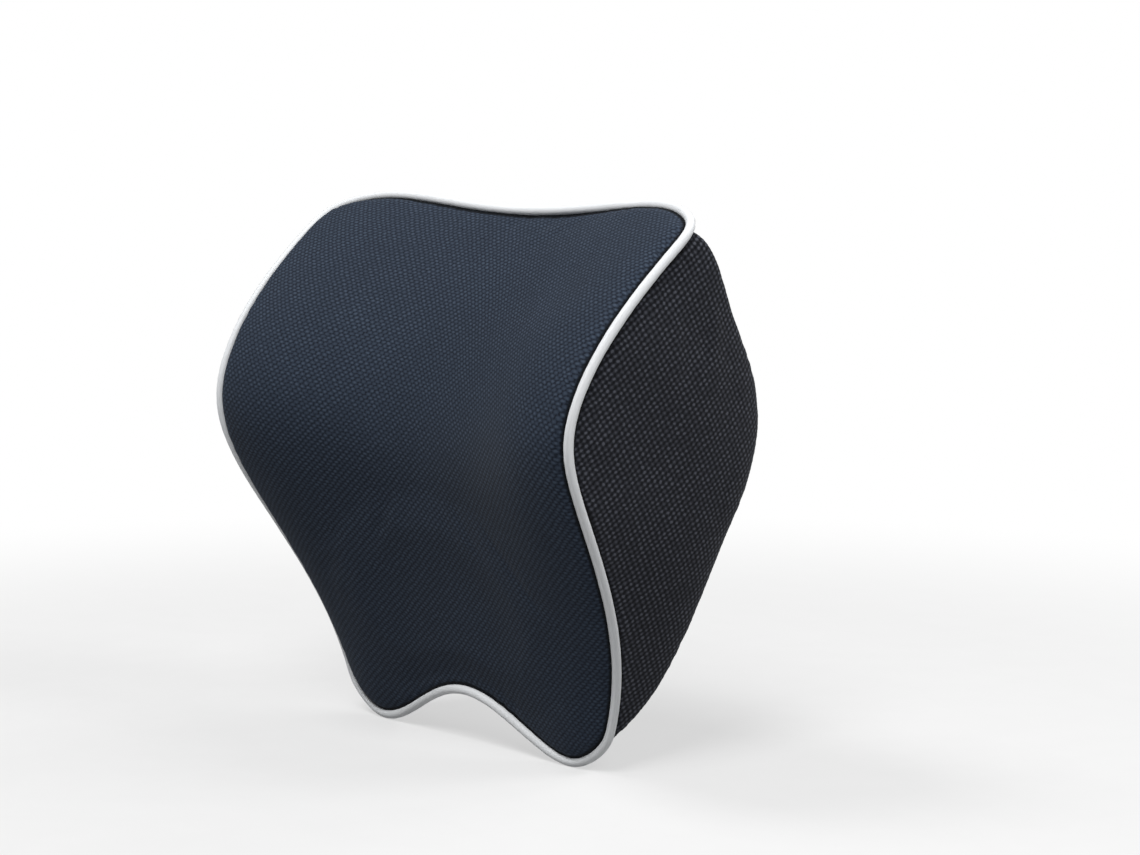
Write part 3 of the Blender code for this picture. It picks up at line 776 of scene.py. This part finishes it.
def mesh_cloth(name, lattice, weights, colours, strength, distance, painted_ditch_place):
    """A warp-knitted mesh: knots on a slanting lattice with pits between, no two knots the same. The
    knots' lighter colour is partly a painted highlight, the pits' darker colour partly painted shade, and
    the ditch beside the piping gets painted shade.
    """
    look = Look(name)
    place = look.place()
    drift = look.node("TexNoise", {"Vector": place, "Scale": WANDER_SCALE, "Detail": 4.0}).outputs["Color"]
    wander = look.vector("SUBTRACT", drift, (0.5, 0.5, 0.5)).outputs[0]
    bent = look.vector("MULTIPLY_ADD", wander, (WEAVE_WANDER,) * 3, place).outputs[0]
    steps = [look.vector("DOT_PRODUCT", bent, (*way, 0.0)).outputs["Value"] for way in lattice]
    steps.append(look.math("ADD", *steps))
    wave = 0.0
    for step, weight in zip(steps, weights):
        turn = look.math("COSINE", look.math("MULTIPLY", step, 2.0 * math.pi))
        wave = look.math("MULTIPLY_ADD", turn, weight / sum(weights), wave)
    jumble = look.math("SUBTRACT", look.noise(place, JUMBLE_SCALE), 0.5)
    wave = look.math("MULTIPLY_ADD", jumble, KNOT_JUMBLE, wave)
    cell = look.node("CombineXYZ", {n: look.math("ROUND", steps[n]) for n in range(2)}).outputs[0]
    chance = look.node("TexWhiteNoise", {"Vector": cell}, noise_dimensions="2D").outputs["Value"]
    knots = look.span(wave, *KNOT_RISE, kind="SMOOTHSTEP")
    pits = look.span(wave, *PIT_FALL, kind="SMOOTHSTEP")
    thread = look.noise(place, THREAD_SCALE, 2.0, 0.6)
    # The knots lighter: their own random tone, and partly a painted highlight on their tops
    brightness = look.math("MULTIPLY_ADD", look.math("POWER", chance, 1.6), 1.1, 0.45)
    knot_tone_and_highlight = look.math("MULTIPLY", knots, brightness)
    # The pits darker, partly as painted shade in them; knots and pits also shape the relief
    level = look.math("MULTIPLY_ADD", knot_tone_and_highlight, 0.5, look.math("MULTIPLY_ADD", pits, -0.5, 0.5))
    height = look.math("ADD", level, look.math("MULTIPLY", thread, 0.2))
    colour = look.ramp(level, colours, (0.0, 0.45, 1.0))
    shade = look.span(look.noise(place, BROAD_SCALE, 3.0), 0.25, 0.75, *BROAD_SHADE)
    worn = look.math("MULTIPLY_ADD", look.amount("seam_nearness"), SEAM_WEAR, shade)
    # Painted shade: the cloth darkened in the ditch beside the piping
    painted_ditch = look.span(look.amount("piping_distance"), *painted_ditch_place, PAINTED_DITCH_SHADE, 1.0)
    share = look.math("MULTIPLY", worn, painted_ditch)
    tint = look.node("VectorMath", {0: colour, 3: share}, operation="SCALE").outputs[0]
    rough = look.span(thread, 0.2, 0.8, 0.78, 0.95)
    return look.finish(tint, rough, height, strength, distance, Sheen_Weight=MESH_SHEEN,
                       Sheen_Roughness=0.45, Specular_IOR_Level=0.15)


def woven(look, place, wave, colour, fine, rough, strength, distance, sheen):
    """A woven cloth: the wave of its weave and its fine thread as relief."""
    thread = look.noise(place, fine, 2.0, 0.6)
    height = look.math("ADD", wave, look.math("MULTIPLY", thread, 0.4))
    rough = look.span(thread, 0.2, 0.8, *rough)
    return look.finish(colour, rough, height, strength, distance, Sheen_Weight=sheen)


def piping_cloth():
    look = Look("piping_cloth")
    place = look.place()
    weave = look.math("MULTIPLY", *(look.wave_of(place, (sign * 1700.0, 900.0)) for sign in (1.0, -1.0)))
    soil = look.noise(place, 60.0, 4.0, 0.65)
    colour = look.blend(look.span(soil, 0.35, 0.75), *WHITE_CORD)
    return woven(look, place, weave, colour, 3000.0, (0.5, 0.7), 0.5, 0.00008, 0.1)


def elastic_cloth():
    look = Look("elastic_cloth")
    place = look.place()
    rib = look.wave_of(place, (900.0, 0.0))
    cross = look.wave_of(place, (0.0, 1400.0))
    level = look.math("MULTIPLY", rib, look.math("MULTIPLY_ADD", cross, 0.35, 0.65))
    colour = look.ramp(level, ELASTIC_BLACK)
    return woven(look, place, level, colour, 2400.0, (0.65, 0.85), 0.6, 0.00015, 0.12)


def tape_cloth():
    look = Look("tape_cloth")
    place = look.spot()
    slant = look.wave_of(place, (900.0, 700.0))
    colour = look.ramp(slant, TAPE_BLACK)
    return woven(look, place, slant, colour, THREAD_SCALE, (0.6, 0.85), 0.6, 0.00012, 0.1)


def plastic(name, colours, rough):
    look = Look(name)
    place = look.spot()
    grain = look.noise(place, 900.0, 3.0)
    colour = look.blend(grain, *colours)
    return look.finish(colour, look.span(grain, 0.3, 0.7, rough - 0.08, rough + 0.1), grain, 0.3, 0.00003)


def painted_metal():
    look = Look("painted_metal")
    place = look.spot()
    grain = look.noise(place, 700.0, 4.0, 0.6)
    broad = look.noise(place, 160.0, 3.0)
    colour = look.blend(look.span(broad, 0.40, 0.65), *PAINT_BLACK)
    return look.finish(colour, look.span(grain, 0.3, 0.7, 0.26, 0.42), grain, 0.2, 0.00002, Metallic=0.6)


def foam_look():
    look = Look("foam_cells")
    place = look.spot()
    cells = look.node("TexVoronoi", {"Vector": place, "Scale": 700.0}).outputs["Distance"]
    broad = look.noise(place, 30.0, 3.0)
    colour = look.blend(broad, *FOAM_CREAM)
    return look.finish(colour, look.span(cells, 0.0, 0.8, 0.85, 0.98), cells, 0.6, 0.0004)


FRONT_KNIT = mesh_cloth("front_knit_look", FRONT_LATTICE, (1.0, 0.8, 0.8), NAVY, 0.4, 0.00020, FRONT_PAINTED_DITCH)
AIR_MESH = mesh_cloth("air_mesh_look", SIDE_LATTICE, (1.0, 0.75, 0.3), BLACK, 0.5, 0.00025, END_PAINTED_DITCH)
PIPING_CLOTH = piping_cloth()
ELASTIC = elastic_cloth()
TAPE = tape_cloth()
NYLON = plastic("nylon_look", NYLON_BLACK, 0.42)
METAL = painted_metal()
FOAM = foam_look()
THREAD = plastic("thread_look", THREAD_BLACK, 0.6)


# Camera at the photograph's place: its lens in millimetres, where it is and which way it looks
CAMERA_LENS = 89.386
CAMERA_PLACE = (1.1023, -0.9542, 0.0980)
CAMERA_YAW = 0.85028
CAMERA_PITCH = 0.113212


def make_camera():
    lens = bpy.data.cameras.new("view")
    lens.lens = CAMERA_LENS
    lens.sensor_width = 36.0
    lens.clip_start = 0.01
    lens.clip_end = 50.0
    camera = bpy.data.objects.new("view", lens)
    yaw, level = CAMERA_YAW, math.cos(CAMERA_PITCH)
    forward = Vector((-math.sin(yaw) * level, math.cos(yaw) * level, -math.sin(CAMERA_PITCH)))
    right = Vector((math.cos(yaw), math.sin(yaw), 0.0))
    up = right.cross(forward)
    turned = Matrix((right, up, -forward)).transposed().to_4x4()
    camera.matrix_world = Matrix.Translation(CAMERA_PLACE) @ turned
    bpy.context.scene.collection.objects.link(camera)
    bpy.context.scene.camera = camera


make_camera()

skin = subdivided(body_cage(), SKIN_LEVEL)
set_places(skin, inflated(skin))

panels_at = edge_panels(skin)
skin_places = places(skin)
skin_normals = normals(skin)
seams = {key: found for key, found in panels_at.items() if len(found) == 2}
front_loop = edge_loop([key for key, found in seams.items() if FRONT in found])
PIPING_SEAM = Seam(smooth_loop(skin_places[front_loop], SEAM_STEP))
back_ends = {}
for a, b in [key for key, found in seams.items() if FRONT not in found]:
    side = 1 if skin_places[a][0] > 0 else -1
    back_ends.setdefault(side, set()).update((a, b))
back_lines = []
for members in back_ends.values():
    order = sorted(members, key=lambda v: -skin_places[v][2])
    back_lines.append(smooth_loop(skin_places[order], SEAM_STEP, closed=False))
BACK_SEAM = Seam(np.vstack(back_lines))
TIPS = [skin_places[max(members, key=lambda v: skin_places[v][2])] for members in back_ends.values()]


front = panel_mesh(FRONT, 1)
dress_panel(front, FRONT)
turn_rims(front)
cover = new_piece("front_cover", front, FRONT_KNIT, stands_for=("front_panel",))

for name, number, node in (("left_side_cover", LEFT_END, "left_side_panel"),
                           ("right_side_cover", RIGHT_END, "right_side_panel")):
    end = panel_mesh(number, 2)
    dress_panel(end, number)
    turn_rims(end)
    new_piece(name, end, AIR_MESH, stands_for=(node,))


def cut_beside_zip(mesh, signs, reach, outside):
    """The cloth cut along lines beside the zip, which leaves what is away from it or what is near."""
    work = bmesh.new()
    work.from_mesh(mesh)
    for sign in signs:
        bmesh.ops.bisect_plane(work, geom=[*work.faces, *work.edges, *work.verts], dist=CUT_REACH,
                               plane_co=ZIP_FRAME.translation + ZIP_DOWN * (sign * reach),
                               plane_no=ZIP_DOWN * sign, clear_inner=outside, clear_outer=not outside)
    work.to_mesh(mesh)
    work.free()


def back_half(sign):
    """The back cloth above or below the zip's slot."""
    mesh = panel_mesh(BACK, 2)
    dress_panel(mesh, BACK)
    cut_beside_zip(mesh, [sign], ZIP_SLOT_WIDTH / 2.0, True)
    turn_rims(mesh)
    return mesh


back_pieces = []
for name, sign, node in (("back_cover_upper", -1.0, "back_panel_upper"),
                         ("back_cover_lower", 1.0, "back_panel_lower")):
    back_pieces.append(new_piece(name, back_half(sign), AIR_MESH, stands_for=(node,)))


# Piping and foam block
PIPING_RADIUS = 0.0023
PIPING_PROUD = 0.0011
PIPING_SIDES = 20
PIPING_STEP = 0.0016
PIPING_GUIDE = 0.01
PIPING_WEAVE = 0.012
WEAVE_RATE = 900.0
WEAVE_TWIST = 3.0
CORD_UNEVEN = 0.02
CORD_PITCH = 0.02
CORD_SEED = 23
FOAM_SETBACK = 0.006
FOAM_INSET = 0.0040


def wrapped(rings, sides, closed):
    """The faces round a tube, from one ring of its points to the next."""
    following = [(i, (i + 1) % rings) for i in range(rings if closed else rings - 1)]
    return [(i * sides + k, i * sides + m, j * sides + m, j * sides + k)
            for i, j in following for k, m in ((k, (k + 1) % sides) for k in range(sides))]


def piping_mesh():
    """A cloth-covered cord, faintly uneven along its length."""
    seam, away = skin_places[front_loop], skin_normals[front_loop]
    centre = smooth_loop(seam + away * PIPING_PROUD, PIPING_STEP)
    seam_out = smooth_loop(seam + away * (PIPING_PROUD + PIPING_GUIDE), PIPING_STEP)
    count = len(centre)
    at = np.linspace(0.0, len(seam_out), count, endpoint=False)
    out = np.stack([np.interp(at, np.arange(len(seam_out) + 1), np.append(seam_out[:, k], seam_out[0, k]))
                    for k in range(3)], axis=1) - centre
    ahead = np.roll(centre, -1, axis=0) - np.roll(centre, 1, axis=0)
    ahead /= np.linalg.norm(ahead, axis=1, keepdims=True)
    out -= ahead * (out * ahead).sum(axis=1, keepdims=True)
    out /= np.linalg.norm(out, axis=1, keepdims=True)
    side = np.cross(ahead, out)
    turn = np.linspace(0.0, 2.0 * math.pi, PIPING_SIDES, endpoint=False)
    along = np.arange(count) * PIPING_STEP
    weave = np.sin(along[:, None] * WEAVE_RATE + WEAVE_TWIST * np.sin(turn)[None, :])
    rough = 1.0 + PIPING_WEAVE * weave + CORD_UNEVEN * waves(centre, CORD_PITCH, CORD_SEED)[:, None]
    radius = PIPING_RADIUS * rough
    points = centre[:, None, :] + radius[:, :, None] * (
        np.cos(turn)[None, :, None] * out[:, None, :] + np.sin(turn)[None, :, None] * side[:, None, :])
    faces = wrapped(count, PIPING_SIDES, True)
    mesh = smooth_mesh("piping_cord", points.reshape(-1, 3).tolist(), faces)
    chart = np.stack([np.repeat(along, PIPING_SIDES), np.tile(turn * PIPING_RADIUS, count),
                      np.zeros(count * PIPING_SIDES)], axis=1)
    store(mesh, "cloth_place", chart)
    return mesh


new_piece("piping_cord", piping_mesh(), PIPING_CLOTH, stands_for=("piping",))


def foam_mesh():
    block = subdivided(body_cage(FOAM_SETBACK), SKIN_LEVEL)
    set_places(block, places(block) - normals(block) * FOAM_INSET)
    one_finish(block)
    return block


new_piece("foam_block", foam_mesh(), FOAM, stands_for=("foam_core",))

# Zip teeth, strap and stitching
COIL_REACH = 0.1121
COIL_HALF = 0.0020
COIL_TOP = 0.0007
COIL_PITCH = 0.00062
LOOP_RADIUS = 0.00030
LOOP_HEIGHT = 0.00050
LOOP_OVERLAP = 0.00055
LOOP_SLANT = 0.00022
LOOP_SIDES = 8
CORE_HALF = 0.0017
CORE_HEIGHT = 0.0004
CORE_DROP = 0.0002
LOOP_SHAPE = ((0.0, 0.45), (0.05, 0.85), (0.16, 1.0), (0.5, 1.0), (0.84, 1.0), (0.95, 0.85), (1.0, 0.45))
STRAP_REACH = 0.1161
STRAP_TOP = 0.0019
STRAP_GAP = 0.0003
STRAP_HEM = 0.0160
STRAP_LAYER = 0.0016
STRAP_RIB = 0.00125
STRAP_RIB_DEPTH = 0.00012
STRAP_RIB_STEPS = 6
STRAP_SECTIONS = 220
STRAP_EDGE = 0.0007
HEM_STEP = 0.0012
FOLD_REACH = 0.0016
FOLD_DROP = 0.45
HEM_REACH = (-0.0002, 0.0014)
STRAP_WAVER = ((0.00012, 260.0, 0.0), (0.00008, 610.0, 1.0))
THREAD_RADIUS = 0.00024
STITCH_PITCH = 0.0026
STITCH_LENGTH = 0.0020
STITCH_RISE = ((0.0, -1.1), (0.16, 0.1), (0.5, 0.55), (0.84, 0.1), (1.0, -1.1))
SLOT_STITCH_INSET = 0.0022
TAPE_STITCH = 0.0034
TAPE_TOP = -0.0004
HEM_STITCH_INSET = 0.0022
LINING_LAP = 0.0012
LINING_DEPTH = 0.00115
PROBE_RISE = 0.012
STITCH_PAST = 0.002


def tube(path, sides, radii, out):
    """Points and faces of a closed tube along a path, with its two radii at each point."""
    points = []
    for i, centre in enumerate(path):
        ahead = (path[min(i + 1, len(path) - 1)] - path[max(i - 1, 0)]).normalized()
        up = (out - ahead * out.dot(ahead)).normalized()
        side = ahead.cross(up)
        for k in range(sides):
            turn = 2.0 * math.pi * k / sides
            aside, rise = radii[i][0] * math.cos(turn), radii[i][1] * math.sin(turn)
            points.append(centre + side * aside + up * rise)
    faces = wrapped(len(path), sides, False)
    faces.append(tuple(reversed(range(sides))))
    faces.append(tuple(range((len(path) - 1) * sides, len(path) * sides)))
    return points, faces


def joined(parts):
    points, faces = [], []
    for more_points, more_faces in parts:
        shift = len(points)
        points += more_points
        faces += [tuple(v + shift for v in face) for face in more_faces]
    return points, faces


def coil_mesh():
    """The zip's two meshed nylon coils, loop by loop, over their dark core."""
    count = int(2.0 * COIL_REACH / COIL_PITCH)
    level = COIL_TOP - LOOP_HEIGHT
    parts = []
    for i in range(count):
        x = (i - (count - 1) / 2.0) * COIL_PITCH
        side = 1.0 if i % 2 else -1.0
        outer, inner = side * COIL_HALF, -side * LOOP_OVERLAP
        path = [ZIP_FRAME @ Vector((x + LOOP_SLANT * (share - 0.5), mix(outer, inner, share), level))
                for share, _ in LOOP_SHAPE]
        radii = [(LOOP_RADIUS * r, LOOP_HEIGHT * r) for _, r in LOOP_SHAPE]
        parts.append(tube(path, LOOP_SIDES, radii, ZIP_OUT))
    ends = [ZIP_FRAME @ Vector((x, 0.0, level - CORE_DROP)) for x in (-COIL_REACH, COIL_REACH)]
    parts.append(tube(ends, LOOP_SIDES, [(CORE_HALF, CORE_HEIGHT)] * 2, ZIP_OUT))
    return smooth_mesh("zip_coil_loops", *joined(parts))


def strap_height(x):
    """The strap's top above the back: double at its two hems, with a fold at each end."""
    inside = STRAP_REACH - abs(x)
    hem = ease((STRAP_HEM - inside) / HEM_STEP) if inside < STRAP_HEM else 0.0
    fold = 1.0 - (1.0 - (1.0 - min(1.0, inside / FOLD_REACH)) ** 2) ** 0.5
    return STRAP_TOP + STRAP_LAYER * hem - fold * FOLD_DROP * (STRAP_TOP + STRAP_LAYER)


def strap_mesh():
    """A ribbed woven elastic band, hemmed at both ends."""
    half = STRAP_WIDTH / 2.0
    ribs = int(STRAP_WIDTH / STRAP_RIB)
    across = np.linspace(-half, half, ribs * STRAP_RIB_STEPS + 1)
    round_edge = np.clip((half - np.abs(across)) / STRAP_EDGE, 0.0, 1.0)
    drop = (1.0 - np.sqrt(1.0 - (1.0 - round_edge) ** 2)) * STRAP_EDGE
    rib = STRAP_RIB_DEPTH * (0.5 - 0.5 * np.cos(2.0 * math.pi * across / STRAP_RIB)) * round_edge
    stations = np.linspace(-STRAP_REACH, STRAP_REACH, STRAP_SECTIONS)
    hem = STRAP_HEM - STRAP_REACH
    fine = np.concatenate([np.linspace(-STRAP_REACH, -STRAP_REACH + FOLD_REACH, 6)[1:-1],
                           np.linspace(hem + HEM_REACH[0], hem + HEM_REACH[1], 6)])
    stations = np.sort(np.concatenate([stations, fine, -fine]))
    points, cloth = [], []
    for x in stations:
        top = strap_height(x)
        waver = sum(size * math.sin(x * rate + start) for size, rate, start in STRAP_WAVER)
        for y, z in zip(across, top - drop + rib):
            points.append(STRAP_FRAME @ Vector((x, y + waver, z)))
            cloth.append((x, y, 0.0))
        for y in (half, -half):
            points.append(STRAP_FRAME @ Vector((x, y + waver, STRAP_GAP)))
            cloth.append((x, y, 0.0))
    ring = len(across) + 2
    last = len(stations) - 1
    faces = [(a, d, c, b) for a, b, c, d in wrapped(len(stations), ring, False)]
    faces.append(tuple(range(ring)))
    faces.append(tuple(reversed(range(last * ring, len(stations) * ring))))
    mesh = smooth_mesh("strap_band", points, faces)
    store(mesh, "cloth_place", np.array(cloth))
    return mesh


def stitches(line, outs):
    """Thread loops along a line, each one rising from its hole and going back down."""
    line = np.array(line)
    length = lengths(line)
    at = lambda s: Vector([np.interp(s, length, line[:, k]) for k in range(3)])
    parts = []
    for n in range(int(length[-1] / STITCH_PITCH)):
        start = (n + 0.5) * STITCH_PITCH - STITCH_LENGTH / 2.0
        out = Vector(outs[min(int(np.searchsorted(length, start)), len(outs) - 1)])
        path = [at(start + share * STITCH_LENGTH) + out * (THREAD_RADIUS * up)
                for share, up in STITCH_RISE]
        parts.append(tube(path, 6, [(THREAD_RADIUS, THREAD_RADIUS)] * len(path), out))
    return parts


def on_cloth(tree, x, y):
    """The outer cloth's place and direction over a point beside the zip."""
    found, out = tree.ray_cast(ZIP_FRAME @ Vector((x, y, PROBE_RISE)), -ZIP_OUT)[:2]
    if found is None:
        return ZIP_FRAME @ Vector((x, y, 0.0)), ZIP_OUT
    return found, (out if out.dot(ZIP_OUT) > 0.0 else -out)


def back_tree():
    """The back's outer cloth, to find the place of a stitch on it."""
    meshes = [piece.data for piece in back_pieces]
    parts = [([v.co.copy() for v in mesh.vertices], [face.vertices for face in mesh.polygons])
             for mesh in meshes]
    return bvhtree.BVHTree.FromPolygons(*joined(parts))


def stitch_mesh():
    """The topstitching beside the zip, on its tapes and at the strap's ends."""
    tree = back_tree()
    parts = []
    xs = np.linspace(-COIL_REACH - STITCH_PAST, COIL_REACH + STITCH_PAST, 240)
    for sign in (-1.0, 1.0):
        found = [on_cloth(tree, x, sign * (ZIP_SLOT_WIDTH / 2.0 + SLOT_STITCH_INSET)) for x in xs]
        parts += stitches([place for place, _ in found], [out for _, out in found])
        line = [ZIP_FRAME @ Vector((x, sign * TAPE_STITCH, TAPE_TOP)) for x in xs]
        parts += stitches(line, [ZIP_OUT] * len(line))
    half = STRAP_WIDTH / 2.0 - HEM_STITCH_INSET
    for side in (-1.0, 1.0):
        far, near = STRAP_REACH - HEM_STITCH_INSET, STRAP_REACH - STRAP_HEM + HEM_STITCH_INSET
        corners = [(far, -half), (near, -half), (near, half), (far, half)]
        for first, last in ((0, 1), (1, 2), (2, 3), (3, 0), (0, 2), (1, 3)):
            start, stop = corners[first], corners[last]
            line = []
            for share in np.linspace(0.0, 1.0, 24):
                x = side * mix(start[0], stop[0], share)
                height = strap_height(x) + STRAP_RIB_DEPTH / 2.0
                line.append(STRAP_FRAME @ Vector((x, mix(start[1], stop[1], share), height)))
            parts += stitches(line, [STRAP_OUT] * len(line))
    return smooth_mesh("stitching", *joined(parts))


def lining_mesh():
    """The dark strip behind the zip, from seam to seam, which hides the foam."""
    mesh = panel_mesh(BACK, 1)
    cut_beside_zip(mesh, (-1.0, 1.0), ZIP_SLOT_WIDTH / 2.0 + LINING_LAP, False)
    set_places(mesh, places(mesh) - normals(mesh) * LINING_DEPTH)
    one_finish(mesh)
    return mesh


new_piece("zip_lining", lining_mesh(), TAPE)
new_piece("zip_coil_loops", coil_mesh(), NYLON, stands_for=("zip_coil",))
new_piece("strap_band", strap_mesh(), ELASTIC, stands_for=("elastic_strap",))
new_piece("stitching", stitch_mesh(), THREAD)

METAL_EDGE = 0.0002
TAPES = ("zip_tape_upper", "zip_tape_lower")
for name in (*TAPES, "zip_stop_left", "zip_stop_right", "zip_slider", "zip_pull"):
    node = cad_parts[name]
    node.data.materials.clear()
    node.data.materials.append(TAPE if name in TAPES else METAL)
    if name not in TAPES:
        rounding = node.modifiers.new("edges", "BEVEL")
        rounding.width = METAL_EDGE
        rounding.segments = 2
        rounding.angle_limit = math.radians(35.0)


# Floor, background and light: where each lamp is, how large and how strong
FLOOR_REACH = 8.0
FLOOR_GAP = 0.0005
FLOOR_GLOW = 0.54
FLOOR_FADE = (0.35, 0.85)
WORLD_LIGHT = 0.06
WHITE = (1.0, 1.0, 1.0, 1.0)
LAMP_TARGET = (0.0, -0.05, -0.08)
LAMPS = {"key": ((0.75, -1.2, 1.7), 1.0, 29.0), "fill": ((-0.85, -0.75, 2.0), 0.9, 25.0),
         "side": ((0.95, 0.45, 1.0), 0.6, 8.0), "rear": ((0.2, 1.8, 1.3), 1.2, 12.0)}


def surroundings():
    """A pale floor that fades to white, a white background that lights little, and four lamps."""
    scene = bpy.context.scene
    scene.view_settings.view_transform = "Standard"
    floor_mesh = bpy.data.meshes.new("floor")
    height = cad_low.z - FLOOR_GAP
    corners = [(x * FLOOR_REACH, y * FLOOR_REACH, height) for x, y in ((-1, -1), (1, -1), (1, 1), (-1, 1))]
    floor_mesh.from_pydata(corners, [], [(0, 1, 2, 3)])
    floor = bpy.data.objects.new("floor", floor_mesh)
    scene.collection.objects.link(floor)
    look = Look("floor_look")
    place = look.spot()
    grain = look.noise(place, 40.0, 3.0)
    look.finish(look.blend(grain, *FLOOR_GREY), 0.9, Specular_IOR_Level=0.0)
    away = look.vector("DISTANCE", place, (*LAMP_TARGET[:2], height)).outputs["Value"]
    far = look.span(away, *FLOOR_FADE, kind="SMOOTHSTEP")
    ray = look.node("LightPath").outputs
    straight = look.math("MAXIMUM", ray["Is Camera Ray"], ray["Is Glossy Ray"])
    glow = look.node("Emission", {"Color": WHITE, "Strength": look.math("MULTIPLY", straight, FLOOR_GLOW)})
    near_floor = look.node("AddShader", {0: look.shader.outputs[0], 1: glow.outputs[0]}).outputs[0]
    white = look.node("Emission", {"Color": WHITE, "Strength": 1.0}).outputs[0]
    share = look.math("MULTIPLY", far, straight)
    shown = look.node("MixShader", {0: share, 1: near_floor, 2: white}).outputs[0]
    look.tree.links.new(shown, look.tree.nodes["Material Output"].inputs["Surface"])
    floor_mesh.materials.append(look.made)

    sky = Look("studio", world=True)
    scene.world = sky.made
    ray = sky.node("LightPath").outputs
    straight = sky.math("MAXIMUM", ray["Is Camera Ray"], ray["Is Transmission Ray"])
    sky.feed(sky.shader.inputs["Color"], WHITE)
    sky.feed(sky.shader.inputs["Strength"], sky.span(straight, 0.0, 1.0, WORLD_LIGHT, 1.0))

    for name, (lamp_place, size, power) in LAMPS.items():
        light = bpy.data.lights.new(name, "AREA")
        light.shape = "DISK"
        light.size = size
        light.energy = power
        lamp = bpy.data.objects.new(name, light)
        scene.collection.objects.link(lamp)
        lamp.location = lamp_place
        lamp.rotation_mode = "QUATERNION"
        lamp.rotation_quaternion = (Vector(LAMP_TARGET) - Vector(lamp_place)).to_track_quat("-Z", "Y")
        lamp.visible_camera = False


surroundings()
